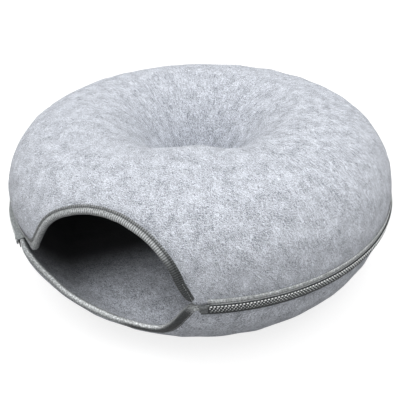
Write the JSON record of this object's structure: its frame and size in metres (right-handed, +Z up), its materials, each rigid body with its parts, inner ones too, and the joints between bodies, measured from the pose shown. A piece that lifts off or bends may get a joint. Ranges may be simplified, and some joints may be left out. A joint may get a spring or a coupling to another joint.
{
  "type": "felt tunnel pet bed",
  "caption": "Round felt ring bed for a cat: a moulded tunnel with a dimple on top, an arched entrance, bound edges and a zip around the side.",
  "frame": {"origin": "centre of the ring, on its flat base", "axes": "+Z up, out of the dimple; the middle of the entrance faces -Y; the zip's start is on the +X side of the entrance"},
  "size_m": [0.5028, 0.4943, 0.204],
  "materials": {
    "felt": "melange grey felt",
    "binding": "ribbed woven tape",
    "zip_tape": "smooth woven tape",
    "zip_teeth": "satin",
    "zip_stop": "satin"
  },
  "bodies": {
    "root": {"lower_shell": "felt", "upper_shell": "felt", "lower_binding": "binding", "upper_binding": "binding", "lower_zip_tape": "zip_tape", "upper_zip_tape": "zip_tape", "zip_chain": "zip_teeth", "zip_start_tab": "zip_tape", "zip_end_stop": "zip_stop"}
  },
  "joints": []
}
